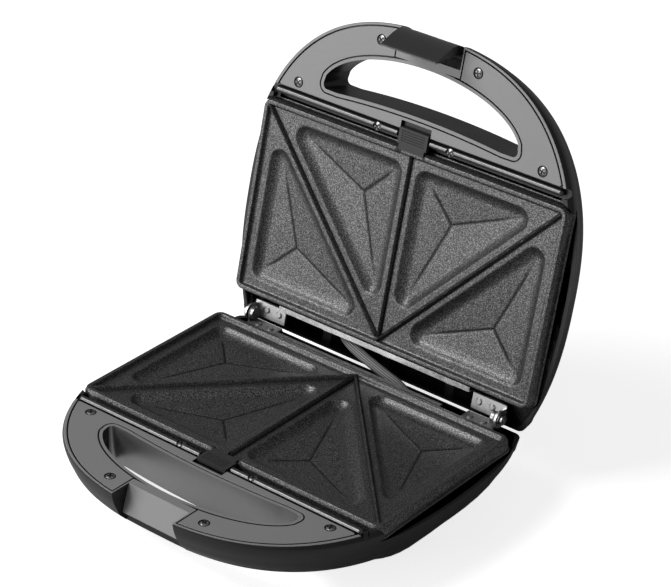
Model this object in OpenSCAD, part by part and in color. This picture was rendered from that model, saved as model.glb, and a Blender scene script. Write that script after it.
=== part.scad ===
// Sandwich toaster for two slices, with four triangular pockets and a lid that opens backwards.
// Lengths are millimetres. X is the width, Y runs from the handle to the hinge, Z is up.
// The halves are drawn closed around the plane where they meet, then the lid is turned open.

/* [Overall] */
// Angle between the base and the opened lid
open_angle = 102; // [60:1:102]
// Depth of each half, from the meeting plane to its outer face
half_depth = 42; // [38:0.5:50]
// Reach of the handle in front of the plates
handle_reach = 74; // [70:0.5:84]
// Height of the rubber feet under the base
foot_h = 5; // [3:0.5:9]
// Wall thickness of the mouldings
wall = 2; // [1.8:0.1:2.6]

/* [Cooking plates] */
// Width of each plate over its rim
plate_w = 223; // [215:0.5:232]
// Depth of each plate over its rim
plate_d = 124.2; // [120:0.2:132]
// Width of the top of the rim
rim_t = 2.8; // [2:0.1:4]
// Drop from the rim top to the flat land around the pockets
land_drop = 2.8; // [2:0.1:3.6]
// Depth of the deepest point of a pocket under the rim top
pocket_drop = 8.4; // [7:0.1:9]
// Width of flat land between a pocket and the ridge or rim beside it
pocket_margin = 5.4; // [5:0.1:10]
// Width of a divider ridge at its foot
ridge_base = 3; // [2.4:0.1:4]
// Width of a divider ridge at its top
ridge_top = 1.2; // [0.8:0.1:1.8]

/* [Handle] */
// Half length of the finger hole
finger_half = 75; // [66:0.5:78]
// Half width of the latch notch
notch_half = 22.6; // [20:0.2:26]
// Width of the raised lip that runs around the finger hole
finger_lip = 2.4; // [1.6:0.1:3]
// Thickness of the trim plate on the handle
trim_t = 2; // [1.4:0.1:2.8]
// Radius of the bright bead of the front rail
rail_r = 1.9; // [1.5:0.1:2.2]

/* [Latch and release clips] */
// Half width of the latch clip
latch_half = 20.2; // [16:0.2:20.4]
// Thickness of the latch flap
latch_t = 2.3; // [1.8:0.1:2.8]
// Half width of a release clip
clip_half = 10.5; // [9:0.5:12]

/* [Hinge] */
// Distance of the hinge axis behind the plates
axis_back = 11.5; // [11:0.1:13]
// Radius of the lid's hinge ears, outside the smaller ears of the base
ear_r = 5.6; // [4.4:0.1:6]
// Thickness of the hinge leaves
leaf_t = 1.2; // [1:0.1:1.4]
// Radius of the hinge pivots
pivot_r = 1.75; // [1.5:0.05:2]

/* [Hidden] */
$fn = 48;
// Half of the small gap that is left between the closed halves
gap = 0.3;
plate_front = -1.4;
plate_rear = plate_front + plate_d;
plate_half = plate_w / 2;
axis_y = plate_rear + axis_back;
rear_y = axis_y + 6.7;
half_w = plate_half + 7.5;
// The widest cross line of the housing, near the middle of the plates
mid_y = 62;
// Level of the rim beside and behind the plates, and of the handle's flat face
side_rim_z = -9.5;
face_z = -1.7;
// Lowest level of the room under the rim, above the handle's underside
room_low = -24.2;
split_z = -18;
split_y = 8;
part_h = half_depth + foot_h;
// Middle of the opened part, so that it stands on the centre of its own box
centre_y = 65.15;
// Levels inside a half, counted from the meeting plane
rim_z = -gap;
land_z = rim_z - land_drop;
flange_z = rim_z - 8.3;
tray_z = -20;
// Gap between the rim of a plate and the heater tray under it
tray_in = 3.6;
element_z = -14.7;
element_r = 3.2;
// Round edge of the pockets: its radius, and the height of its centre over the meeting plane
pocket_r = 9;
pocket_lift = 2;
pocket_edge = sqrt(pow(pocket_r, 2) - pow(pocket_lift - land_z, 2));
floor_z = -(half_depth - wall - 0.4);
rail_y = -9.4;
rail_z = -gap - rail_r;
trim_y = -12.7;
// Inner end of the hinge leaves, and the places of the base's and the lid's ears outside it
leaf_x = 72;
ear_x = 93.2;
lid_ear_x = 95;
strip_feet = [-42, 4, 52];
post_ys = [36, 90];
latch_pin_y = -handle_reach + 8;
latch_pin_z = 12;

// Places a piece of the base, drawn under the meeting plane, on the counter.
module in_base() {
  translate([0, -centre_y, part_h]) children();
}

// Places a piece of the lid. It is drawn like a base piece and turned over, then swung open.
module in_lid() {
  translate([0, axis_y - centre_y, part_h])
    rotate([-open_angle, 0, 0])
      translate([0, -axis_y, 0])
        mirror([0, 0, 1]) children();
}

// Outline of a half seen from above: a bowed front with the handle and nearly straight sides.
// n sets how square the front is, and r is the radius of the rear corners.
function outline(a, yf, yr, n = 2.5, r = 6) = concat(
  [for (i = [0 : 28]) let (t = i * 180 / 28, c = cos(t), s = sin(t))
    [sign(c) * a * pow(abs(c), 2 / n), mid_y - (mid_y - yf) * pow(abs(s), 2 / n)]],
  [for (i = [1 : 5]) [-side_x(a, i / 5), mid_y + (yr - r - mid_y) * i / 5]],
  [for (i = [1 : 4]) let (t = i * 22.5) [-side_x(a, 1) + r * (1 - cos(t)), yr - r + r * sin(t)]],
  [for (i = [0 : 3]) let (t = 90 - i * 22.5) [side_x(a, 1) - r * (1 - cos(t)), yr - r + r * sin(t)]],
  [for (i = [5 : -1 : 1]) [side_x(a, i / 5), mid_y + (yr - r - mid_y) * i / 5]]
);
function side_x(a, k) = a - 10.9 * pow(k, 2.5);

// Levels of the upper shell, with the handle: height, half width, front and rear.
function shell_levels(g) = [
  [-26.5, half_w - 7.5 - g, -handle_reach + 16 + g, rear_y - 3 - g],
  [-25, half_w - 4 - g, -handle_reach + 12.6 + g, rear_y - 2.2 - g],
  [-20, half_w - 1.5 - g, -handle_reach + 7.8 + g, rear_y - 0.7 - g],
  [-14.5, half_w - 0.3 - g, -handle_reach + 5 + g, rear_y - g],
  [-9.5, half_w + 1 - g, -handle_reach + 2.8 + g, rear_y - g],
  [-4.5, half_w + 1.7 - g, -handle_reach + 1.5 + g, rear_y - g],
  [face_z, half_w - g, -handle_reach + 1.1 + g, rear_y - g]
];

// Levels of the belly under the plates.
function belly_levels(g) = [
  [-half_depth, half_w - 19 - g, 5 + g, rear_y - 11 - g],
  [-half_depth + 1.5, half_w - 16.8 - g, 2.6 + g, rear_y - 8.4 - g],
  [-35, half_w - 12.6 - g, -4 + g, rear_y - 5 - g],
  [-30, half_w - 8.6 - g, -9 + g, rear_y - 3.6 - g],
  [-26, half_w - 5.4 - g, -12 + g, rear_y - 2.4 - g],
  [room_low, half_w - 4.8 - g, -12.4 + g, rear_y - 2.8 - g],
  [-22, half_w - 6.4 - g, -11 + g, rear_y - 4.4 - g]
];

// Skins a stack of rings that all have the same number of points. Each ring runs clockwise
// when it is seen from the last ring's side, and the first ring is the lowest.
module skin(rings) {
  m = len(rings[0]);
  k = len(rings);
  sides = [for (j = [0 : k - 2]) for (i = [0 : m - 1]) let (b = j * m, q = (i + 1) % m)
    for (f = [[b + i, b + q, b + m + q], [b + i, b + m + q, b + m + i]]) f];
  low = [[for (i = [m - 1 : -1 : 0]) i]];
  high = [[for (i = [0 : m - 1]) (k - 1) * m + i]];
  polyhedron(points = [for (r = rings) each r], faces = concat(sides, low, high), convexity = 4);
}

module loft(levels, n) {
  skin([for (v = levels) [for (p = outline(v[1], v[2], v[3], n)) [p[0], p[1], v[0]]]]);
}

// Points of a rounded rectangle at one level, clockwise from above.
function rounded_ring(x0, y0, x1, y1, r, z) = [for (c = [[x1 - r, y1 - r, 90], [x1 - r, y0 + r, 0],
  [x0 + r, y0 + r, -90], [x0 + r, y1 - r, 180]]) for (i = [0 : 6]) let (t = c[2] - i * 15)
  [c[0] + r * cos(t), c[1] + r * sin(t), z]];

function plate_ring(g, z) =
  rounded_ring(-plate_half - g, plate_front - g, plate_half + g, plate_rear + g, 5 + g, z);

// Rounded rectangle between two corners, made of squares and circles.
module rounded(x0, y0, x1, y1, r) {
  translate([x0 + r, y0]) square([x1 - x0 - 2 * r, y1 - y0]);
  translate([x0, y0 + r]) square([x1 - x0, y1 - y0 - 2 * r]);
  for (x = [x0 + r, x1 - r]) for (y = [y0 + r, y1 - r]) translate([x, y]) circle(r);
}

// The plate's outline, grown by g, as a slab between two levels.
module plate_slab(g, z0, z1) {
  translate([0, 0, z0]) linear_extrude(z1 - z0)
    rounded(-plate_half - g, plate_front - g, plate_half + g, plate_rear + g, 5 + g);
}

module block(x0, y0, z0, x1, y1, z1) {
  translate([x0, y0, z0]) cube([x1 - x0, y1 - y0, z1 - z0]);
}

// Profile in the YZ plane that is stretched along X between two places.
module along_x(x0, x1) {
  translate([x0, 0, 0]) rotate([90, 0, 90]) linear_extrude(x1 - x0) children();
}

module rod_x(x0, x1, y, z, r) {
  translate([x0, y, z]) rotate([0, 90, 0]) cylinder(r = r, h = x1 - x0);
}

module both_sides() {
  children();
  mirror([1, 0, 0]) children();
}

// Pan-head screw that stands on z = 0 with its shank below and a cross recess on top.
module screw(head_r, head_h, shank_r, shank_l) {
  difference() {
    union() {
      cylinder(r = head_r, h = head_h * 0.55);
      translate([0, 0, head_h * 0.55]) cylinder(r1 = head_r, r2 = head_r * 0.66, h = head_h * 0.45);
      translate([0, 0, -shank_l]) cylinder(r = shank_r, h = shank_l + 0.01);
    }
    for (a = [45, 135]) rotate([0, 0, a])
      block(-head_r * 0.62, -head_r * 0.13, head_h * 0.45, head_r * 0.62, head_r * 0.13, head_h + 1);
  }
}

// Finger hole, shrunk by g: a wide bow along the front, round ends and a flatter rear edge.
function finger_outline(g) = concat(
  [for (t = [194 : 8 : 346]) [(finger_half - g) * cos(t), -20 + (handle_reach - 40 - g) * sin(t)]],
  [for (t = [-15 : 22 : 95]) [finger_half - 7 + (5.7 - g) * cos(t), -22.8 + (5.7 - g) * sin(t)]],
  [for (i = [-4 : 4]) [-i * 15, -17 - g - 3 * (1 - i * i / 16)]],
  [for (t = [95 : -22 : -15]) [-(finger_half - 7 + (5.7 - g) * cos(t)), -22.8 + (5.7 - g) * sin(t)]]
);

module finger_hole(z0, z1, g) {
  translate([0, 0, z0]) linear_extrude(z1 - z0) polygon(finger_outline(g));
}

// Outer form of a half, shared by the base and the lid.
module half_outer(g) {
  loft(shell_levels(g), 2.5);
  loft(belly_levels(g), 4);
}

// Room inside a half: behind the handle under the plate, open at the rim.
module half_room() {
  intersection() {
    union() {
      loft([for (v = shell_levels(wall)) if (v[0] > -26 && v[0] < -9)
        [v[0] == -9.5 ? -7 : max(v[0], room_low), v[1], v[2], v[3]]], 2.5);
      loft([for (v = belly_levels(wall)) if (v[0] > -half_depth + 1) [max(v[0], floor_z), v[1], v[2], v[3]]], 4);
    }
    block(-200, -4, -half_depth, 200, 200, 5);
  }
  plate_slab(2.3, side_rim_z - 0.1, 5);
  plate_slab(-tray_in + 0.6, tray_z - 1.2, 5);
}

// What is taken away above the rim beside the plate and around the trim, rail and finger hole.
module half_top_cuts() {
  block(-200, 0.5, side_rim_z, 200, 250, 10);
  // recess of the trim plate
  intersection() {
    translate([0, 0, face_z - trim_t]) linear_extrude(10)
      polygon(outline(half_w - 2, -handle_reach + 2.3, rear_y - 5));
    block(-200, -200, -10, 200, trim_y + 0.3, 10);
    difference() {
      block(-200, -200, -10, 200, 10, 10);
      block(-notch_half - 0.8, -200, -20, notch_half + 0.8, -handle_reach + 20.8, 20);
      finger_hole(-20, 20, 0.4);
    }
  }
  // channel of the rail, with a deeper groove next to the plate
  block(-107, trim_y + 0.2, rail_z - 2.5, 107, plate_front + 1, 10);
  block(-104, rail_y + 3, -9.2, 104, plate_front + 1, 10);
  // rounded pocket where the rail ends
  both_sides() translate([107, rail_y, rail_z - 2.5]) cylinder(r = 3.2, h = 20);
  plate_slab(1.3, -7.2, 10);
  finger_hole(-40, 10, finger_lip);
}

// Blocks on the rear wall that carry the hinge leaves and the rear strip.
module rear_blocks() {
  both_sides() {
    block(leaf_x - 0.5, 126.6, split_z, leaf_x + 25, 139.8, side_rim_z);
    block(leaf_x - 0.5, 126.6, side_rim_z - 0.1, ear_x - 0.3, axis_y + 2.5, -4.6 - leaf_t);
  }
  for (x = strip_feet) block(x - 3.2, 125.4, split_z, x + 3.2, 139.8, side_rim_z);
}

// Region of the bottom cover, with a rounded front end.
module cover_region(g) {
  along_x(-200, 200) {
    translate([split_y + 6, -100]) square([300, 100 + split_z - g]);
    translate([split_y + g, -100]) square([300, 100 + split_z - 6]);
    translate([split_y + 6 + g, split_z - 6 - g]) circle(6);
  }
}

// Slanted seat of the latch in the base, with the undercut that its hook grips.
module base_notch() {
  f = -handle_reach;
  along_x(-notch_half, notch_half)
    polygon([[f + 16, 5], [f + 16, face_z - 0.3], [f + 10.8, -18.8], [f + 10.8, -19.4], [f + 14, -20.2],
      [f + 14, -40], [f - 20, -40], [f - 20, 5]]);
}

module base_housing() {
  color("#17181a") in_base() {
    difference() {
      union() {
        difference() {
          half_outer(0);
          half_room();
          half_top_cuts();
        }
        rear_blocks();
      }
      cover_region(0);
      base_notch();
      trim_screw_places(-16) cylinder(r = 1.3, h = 26);
      rail_screw_places(-16) cylinder(r = 1.3, h = 30);
      clip_bed();
      rivet_places(-15) cylinder(r = 1.25, h = 25);
    }
  }
}

// Belly of the base, with feet seats, screw posts, air slots and the boss of the cord gland.
module bottom_cover() {
  color("#1b1c1e") in_base() {
    difference() {
      union() {
        intersection() {
          difference() {
            half_outer(0.5);
            half_room();
          }
          cover_region(0.1);
        }
        cover_posts() cylinder(r = 4.4, h = tray_z - 0.1 + half_depth - 0.5);
        translate([62, rear_y - 1.5, -31]) rotate([90, 0, 0]) cylinder(r = 8.6, h = 9);
      }
      cover_posts() translate([0, 0, -5]) cylinder(r = 1.9, h = 60);
      cover_posts() translate([0, 0, -5]) cylinder(r = 3.9, h = 8);
      foot_places() translate([0, 0, -5]) cylinder(r = 2.5, h = 20);
      translate([62, rear_y + 5, -31]) rotate([90, 0, 0]) cylinder(r = 5.4, h = 30);
      for (i = [-4 : 4]) block(i * 9 - 1.6, 44, -60, i * 9 + 1.6, 84, floor_z + 1);
    }
  }
}

module cover_posts() {
  for (x = [-72, 72]) for (y = post_ys) translate([x, y, -half_depth + 0.5]) children();
}

module foot_places() {
  for (x = [-84, 84]) for (y = [34, 116]) translate([x, y, -half_depth]) children();
}

module base_feet() {
  color("#0f0f10") in_base() foot_places() {
    translate([0, 0, -foot_h + 0.8]) cylinder(r1 = 7.2, r2 = 8, h = foot_h - 0.8);
    translate([0, 0, -foot_h]) cylinder(r1 = 6.4, r2 = 7.2, h = 0.8);
    cylinder(r = 2.45, h = 4);
    translate([0, 0, wall + 0.45]) cylinder(r1 = 3.6, r2 = 2.6, h = 2);
  }
}

module cover_screws() {
  color("#b9bcc0") in_base() cover_posts()
    translate([0, 0, 2.95]) rotate([180, 0, 0]) screw(3.4, 2.2, 1.7, tray_z + half_depth - 1.5);
}

// Pale plate on the handle, with the finger hole, the latch notch and the bay of the release clip.
module handle_trim() {
  difference() {
    intersection() {
      translate([0, 0, face_z - trim_t + 0.02]) linear_extrude(trim_t - 0.02)
        polygon(outline(half_w - 2.4, -handle_reach + 2.7, rear_y - 5));
      block(-200, -200, -10, 200, trim_y, 10);
    }
    finger_hole(-20, 10, 0);
    block(-notch_half - 1.2, -200, -20, notch_half + 1.2, -handle_reach + 21.2, 20);
    block(-clip_half - 0.5, trim_y - 5, -20, clip_half + 0.5, 10, 20);
    both_sides() translate([102.6, trim_y, -10]) rotate([0, 0, 45]) cube([5, 5, 20], center = false);
    trim_screw_places(-20) cylinder(r = 1.5, h = 40);
    trim_screw_places(face_z - 0.9) cylinder(r = 3.1, h = 10);
  }
}

module trim_screw_places(z) {
  both_sides() {
    translate([89.8, -17.6, z]) children();
    translate([35.1, -handle_reach + 14.1, z]) children();
  }
}

module trim_screws() {
  trim_screw_places(face_z - 0.9) screw(2.9, 1.3, 1.25, 9);
}

module rail_screw_places(z) {
  both_sides() translate([26.8, rail_y + 0.6, z]) children();
}

// Bright half-round bead on a flat foot, flattened where its screws sit and open at the clip.
module front_rail() {
  difference() {
    union() {
      block(-104, rail_y - rail_r, rail_z - 2.4, 104, rail_y + rail_r, rail_z - 1.2);
      both_sides() {
        rod_x(clip_half + 1.5, 104, rail_y, rail_z, rail_r);
        block(clip_half + 1.5, rail_y - rail_r, rail_z - 1.3, 104, rail_y + rail_r, rail_z);
        translate([104, rail_y, rail_z]) sphere(rail_r);
        translate([104, rail_y, rail_z - 2.4]) cylinder(r = rail_r, h = 2.4);
      }
    }
    rail_screw_places(rail_z + 0.1) cylinder(r = 3, h = 10);
    rail_screw_places(-20) cylinder(r = 1.5, h = 40);
  }
}

module rail_screws() {
  rail_screw_places(rail_z + 0.1) screw(2.7, 1.6, 1.25, 9);
}

// Bay under the release clip, cut into the handle face.
module clip_bed() {
  block(-clip_half - 0.5, trim_y - 5, face_z - trim_t - 0.6, clip_half + 0.5, trim_y + 0.5, 10);
}

// Black slider that holds the front edge of a plate and is pulled towards the handle to free it.
module release_clip() {
  difference() {
    union() {
      block(-clip_half, -14, -3.1, clip_half, -3.9, -gap - 0.1);
      block(-9.2, -4, -2.3, 9.2, -0.5, -gap - 0.1);
    }
    for (i = [0 : 4]) block(-8.4, -12.6 + i * 1.5, -0.9, 8.4, -11.9 + i * 1.5, 5);
  }
}

// Corners of a pocket, moved in by d from the lines of a right triangle with legs p and q.
function pocket_corners(p, q, d) = let (k = 1 - d * norm([p, q]) / (p * q))
  [[d, d], [p * (k - d / q), d], [d, q * (k - d / p)]];

// Ring around three corners c at one level, clockwise from above, with round corners of radius r.
function pocket_ring(c, p, q, r, z) = let (h = atan2(p, q))
  [for (v = [[c[0], 270, 180], [c[2], 180, h], [c[1], h, -90]]) for (i = [0 : 6])
    let (t = v[1] + (v[2] - v[1]) * i / 6) [v[0][0] + r * cos(t), v[0][1] + r * sin(t), z]];

// Hollow of one pocket: round edges and three shallow planes that meet in its deepest point.
module pocket(g) {
  p = plate_half - rim_t - 1;
  q = plate_d - 2 * rim_t - 2;
  r_in = (p + q - norm([p, q])) / 2;
  c = pocket_corners(p, q, pocket_margin + pocket_edge);
  r = pocket_r + g;
  rings = concat(
    [for (f = [82, 70, 58, 46, 35, 20]) pocket_ring(c, p, q, r * cos(f), pocket_lift - r * sin(f))],
    [pocket_ring(c, p, q, r * cos(20), pocket_lift + 1)]);
  m = len(rings[0]);
  k = len(rings);
  faces = concat([for (i = [0 : m - 1]) [0, 1 + (i + 1) % m, 1 + i]],
    [for (j = [0 : k - 2]) for (i = [0 : m - 1]) let (b = 1 + j * m, w = (i + 1) % m)
      for (f = [[b + i, b + w, b + m + w], [b + i, b + m + w, b + m + i]]) f],
    [[for (i = [0 : m - 1]) 1 + (k - 1) * m + i]]);
  polyhedron(points = concat([[r_in, r_in, rim_z - pocket_drop - g]], [for (r = rings) each r]), faces = faces);
}

module pockets(g) {
  p = plate_half - rim_t - 1;
  yf = plate_front + rim_t + 1;
  yr = plate_rear - rim_t - 1;
  both_sides() {
    translate([0, yf, 0]) pocket(g);
    translate([p, yr, 0]) rotate([0, 0, 180]) pocket(g);
  }
}

// One divider ridge between two points of the land.
module ridge(a, b) {
  d = b - a;
  translate([a[0], a[1], land_z - 0.5])
    rotate([0, 0, atan2(d[1], d[0])]) rotate([90, 0, 90]) linear_extrude(norm(d))
      polygon([[-ridge_base / 2, 0], [ridge_base / 2, 0], [ridge_base / 2, 0.5],
        [ridge_top / 2, land_drop + 0.2], [ridge_top / 2, land_drop + 0.5], [-ridge_top / 2, land_drop + 0.5],
        [-ridge_top / 2, land_drop + 0.2], [-ridge_base / 2, 0.5]]);
}

// Coated plate: rim with a sloped shoulder, flange, land, pockets with their bulges, and ridges.
module cooking_plate() {
  yf = plate_front + rim_t;
  yr = plate_rear - rim_t;
  difference() {
    union() {
      difference() {
        union() {
          plate_slab(0, rim_z - 0.8, rim_z);
          skin([plate_ring(0.9, rim_z - 2.31), plate_ring(0, rim_z - 0.79)]);
          plate_slab(0.9, flange_z, rim_z - 2.3);
          plate_slab(1.9, flange_z, flange_z + 1.2);
          block(-101, plate_front - 1.8, rim_z - 3.3, 101, plate_front + 1, rim_z - 2.3);
        }
        skin([plate_ring(-rim_t - 0.8, land_z), plate_ring(-rim_t, rim_z + 0.2)]);
        plate_slab(-1.2, flange_z - 1, land_z - 2.6);
      }
      intersection() {
        pockets(2.2);
        plate_slab(-2, -30, land_z - 1);
      }
      ridge([0, yf], [0, yr]);
      ridge([-plate_half + rim_t + 0.4, yf + 0.4], [0, yr]);
      ridge([plate_half - rim_t - 0.4, yf + 0.4], [0, yr]);
    }
    pockets(0);
    block(-10, plate_front - 5, rim_z - 2.2, 10, plate_front + rim_t + 0.8, 5);
  }
}

// Sheet tray under the plate that holds the heating element and throws the heat back.
module reflector() {
  difference() {
    union() {
      plate_slab(-tray_in, tray_z, flange_z - 0.05);
      plate_slab(0.8, flange_z - 0.85, flange_z - 0.05);
    }
    plate_slab(-tray_in - 0.8, tray_z + 0.8, 0);
    for (x = [-14, 14]) translate([x, plate_rear + 5, element_z]) rotate([90, 0, 0]) cylinder(r = 3.9, h = 20);
    for (x = [-72, 72]) for (y = post_ys) translate([x, y, tray_z - 1]) cylinder(r = 1.8, h = 3);
  }
}

// Quarter bend of the heating element around a corner, starting at angle a.
module element_bend(x, y, a) {
  translate([x, y, element_z]) rotate([0, 0, a]) rotate_extrude(angle = 90) translate([10, 0]) circle(element_r);
}

module element_run(x0, y0, x1, y1) {
  d = [x1 - x0, y1 - y0];
  translate([x0, y0, element_z]) rotate([0, 0, atan2(d[1], d[0])]) rotate([0, 90, 0]) cylinder(r = element_r, h = norm(d));
}

// Tubular element in one loop, with both ends through the rear of the tray.
module heating_element() {
  both_sides() {
    element_run(0, 22, 70, 22);
    element_bend(70, 32, -90);
    element_run(80, 32, 80, 94);
    element_bend(70, 94, 0);
    element_run(24, 104, 70, 104);
    element_bend(24, 114, 180);
    element_run(14, 114, 14, plate_rear + 2);
    translate([14, plate_rear + 2, element_z]) rotate([-90, 0, 0]) cylinder(r = 1.2, h = 3);
    block(13.6, plate_rear + 3, element_z - 2.4, 14.4, plate_rear + 8, element_z + 2.4);
  }
}

// Saddles that hold the element on the tray.
module element_clips() {
  difference() {
    both_sides() {
      block(38, 17.6, tray_z + 0.8, 46, 26.4, element_z + 1);
      block(75.6, 56, tray_z + 0.8, 84.4, 64, element_z + 1);
      block(44, 99.6, tray_z + 0.8, 52, 108.4, element_z + 1);
    }
    rod_x(-60, 60, 22, element_z, element_r + 0.02);
    rod_x(-60, 60, 104, element_z, element_r + 0.02);
    both_sides() translate([80, 120, element_z]) rotate([90, 0, 0]) cylinder(r = element_r + 0.02, h = 100);
    block(-60, 22 - element_r, element_z, 60, 22 + element_r, 5);
    block(-60, 104 - element_r, element_z, 60, 104 + element_r, 5);
    both_sides() block(80 - element_r, 20, element_z, 80 + element_r, 120, 5);
  }
}

// Bimetal thermostat on the underside of the tray, with two blade terminals.
module thermostat() {
  color("#8d8479") in_base() {
    translate([0, 64, tray_z - 1.25]) cylinder(r = 12, h = 1.2);
    translate([0, 64, tray_z - 9]) cylinder(r = 8, h = 7.8);
    for (x = [-4, 4]) block(x - 0.4, 61, tray_z - 14, x + 0.4, 67, tray_z - 8.9);
  }
}

module thermal_fuse() {
  color("#cfd1d4") in_base() {
    rod_x(34, 46, 64, tray_z - 2.35, 2.2);
    rod_x(28, 34.1, 64, tray_z - 2.35, 0.6);
    rod_x(45.9, 52, 64, tray_z - 2.35, 0.6);
    block(38, 61, tray_z - 0.85, 42, 67, tray_z - 0.05);
  }
}

// Row of screw terminals on the floor of the base, below the wire sleeve.
module terminal_block() {
  color("#d9d6cc") in_base() difference() {
    block(-6, 116, floor_z + 0.05, 30, 128, floor_z + 11);
    for (i = [0 : 2]) translate([i * 12, 122, floor_z + 4]) cylinder(r = 2.4, h = 20);
    for (i = [0 : 2]) translate([i * 12, 135, floor_z + 4.5]) rotate([90, 0, 0]) cylinder(r = 1.8, h = 30);
  }
}

// Bush in the rear wall where the mains cord goes in.
module cord_gland() {
  color("#101011") in_base() translate([62, rear_y - 1.45, -31]) rotate([-90, 0, 0]) difference() {
    union() {
      cylinder(r = 7.6, h = 1.4);
      translate([0, 0, -12]) cylinder(r = 5.3, h = 12.1);
      translate([0, 0, -12]) cylinder(r1 = 5.3, r2 = 6.2, h = 1.6);
    }
    translate([0, 0, -13]) cylinder(r = 3.6, h = 20);
  }
}

// Steel leaf on each side: a flat flange and an ear that is bent round to the pivot.
module hinge_leaves(x, r) {
  z = -4.6 - leaf_t;
  both_sides() difference() {
    union() {
      block(leaf_x, axis_y - 7.5, z, x + leaf_t, axis_y + 2.4, z + leaf_t);
      rod_x(x, x + leaf_t, axis_y, 0, r);
      block(x, axis_y - r, z, x + leaf_t, axis_y + 2.4, 0);
    }
    rod_x(60, 120, axis_y, 0, pivot_r + 0.05);
    rivet_places(-20) cylinder(r = 1.3, h = 40);
  }
}

module rivet_places(z) {
  both_sides() for (x = [leaf_x + 5, leaf_x + 14.5]) translate([x, axis_y - 3.2, z]) children();
}

module hinge_rivets() {
  rivet_places(-4.6) {
    cylinder(r1 = 2.4, r2 = 1.5, h = 0.9);
    translate([0, 0, -9]) cylinder(r = 1.2, h = 9);
  }
}

// Shoulder screws of the hinge, with the cross head inside and a washer and round nut outside.
module hinge_pivots() {
  washer_x = lid_ear_x + leaf_t + 0.05;
  color("#c6c8cb") in_base() both_sides() difference() {
    union() {
      rod_x(ear_x - 1, washer_x + 3, axis_y, 0, pivot_r);
      rod_x(ear_x - 1.9, ear_x - 0.05, axis_y, 0, 4.2);
      rod_x(washer_x, washer_x + 0.7, axis_y, 0, 4.4);
      rod_x(washer_x, washer_x + 2.4, axis_y, 0, 3);
    }
    for (a = [45, 135]) translate([ear_x - 1.4, axis_y, 0]) rotate([a, 0, 0]) block(-2, -2.6, -0.5, 0, 2.6, 0.5);
  }
}

// Angled steel strip behind the plate, w wide, with feet on the posts of the rear wall.
module rear_strip(x0, x1, w) {
  y = plate_rear + 0.5 + w;
  block(x0, plate_rear + 0.5, -1.2, x1, y, -0.5);
  block(x0, y - 0.7, -8.6, x1, y, -0.6);
  for (x = strip_feet) block(x - 2.8, y - 0.7, side_rim_z + 0.05, x + 2.8, 130.4, -8.55);
}

// Points of the wire sleeve, from the lid's hollow over the hinge line into the base.
function sleeve_ends() = [[-32, 16.6, 0], [-29, 12, 1.4], [-13, 3.8, 1.4], [7, 0.4, -2.6],
  [26, -2.4, -6.5], [32, -3.4, -15], [33, -5.5, -24]];
function bow(p, t) = let (n = len(p) - 1, i = min(floor(t), n - 1), u = t - i,
  a = p[max(i - 1, 0)], b = p[i], c = p[i + 1], d = p[min(i + 2, n)])
  b + 0.5 * u * (c - a) + u * u * (a - 2.5 * b + 2 * c - 0.5 * d) + u * u * u * (1.5 * (b - c) + 0.5 * (d - a));

module wire_sleeve() {
  path = [for (i = [0 : 24]) bow(sleeve_ends(), i / 4)];
  color("#2a2a2b") in_base() translate([0, axis_y, 0]) skin([for (i = [24 : -1 : 0])
    let (t = path[min(i + 1, 24)] - path[max(i - 1, 0)], u = cross(t, [0, 1, 0]), v = cross(t, u))
    [for (a = [0 : 20 : 340]) path[i] + 3.2 * (cos(a) * u / norm(u) - sin(a) * v / norm(v))]]);
}

// Deep well of the latch in the lid's handle.
module lid_notch() {
  f = -handle_reach;
  block(-notch_half, f - 20, -20, notch_half, f + 16, 10);
}

// Gap in the lid's rear wall that lets the wire sleeve pass while the lid swings.
module sleeve_gap() {
  translate([0, axis_y + 20, 0]) rotate([90, 0, 0]) linear_extrude(20) rounded(-37, -20.5, -16, -4, 4);
}

module lid_housing() {
  color("#17181a") in_lid() difference() {
    union() {
      difference() {
        half_outer(0);
        half_room();
        half_top_cuts();
      }
      rear_blocks();
      lid_posts() cylinder(r = 4.4, h = tray_z - 0.1 + half_depth - 0.5);
    }
    lid_notch();
    sleeve_gap();
    trim_screw_places(-16) cylinder(r = 1.3, h = 26);
    rail_screw_places(-16) cylinder(r = 1.3, h = 30);
    clip_bed();
    rivet_places(-15) cylinder(r = 1.25, h = 25);
    rod_x(-notch_half - 4, notch_half + 4, latch_pin_y, -latch_pin_z, 1.5);
    lens_places() translate([0, 0, -6]) cylinder(r = 3.6, h = 20);
    lid_posts() translate([0, 0, 6]) cylinder(r = 1.4, h = 40);
  }
}

module lid_posts() {
  for (x = [-72, 72]) for (y = post_ys) translate([x, y, -half_depth + 0.5]) children();
}

// Screws that fix the upper tray to the posts of the lid.
module reflector_screws() {
  color("#b9bcc0") in_lid() for (x = [-72, 72]) for (y = post_ys)
    translate([x, y, tray_z + 0.85]) screw(3.2, 1.6, 1.35, 8);
}

module lens_places() {
  for (x = [-9, 9]) translate([x, 26, -half_depth]) children();
}

module indicator_lenses() {
  color("#b3241c") in_lid() lens_places() {
    translate([0, 0, -0.9]) cylinder(r1 = 3.3, r2 = 4.6, h = 0.9);
    cylinder(r = 3.5, h = 3.4);
  }
}

// Neon lamps behind the lenses, on a small holder against the inside of the lid.
module indicator_lamps() {
  color("#e0b28a") in_lid() lens_places() {
    translate([0, 0, 3.45]) cylinder(r = 2.6, h = 8);
    translate([0, 0, 3.45]) cylinder(r = 4.4, h = 1.2);
  }
}

module latch_pin() {
  color("#c6c8cb") in_lid() rod_x(-notch_half - 3.9, notch_half + 3.9, latch_pin_y, -latch_pin_z, 1.45);
}

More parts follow.
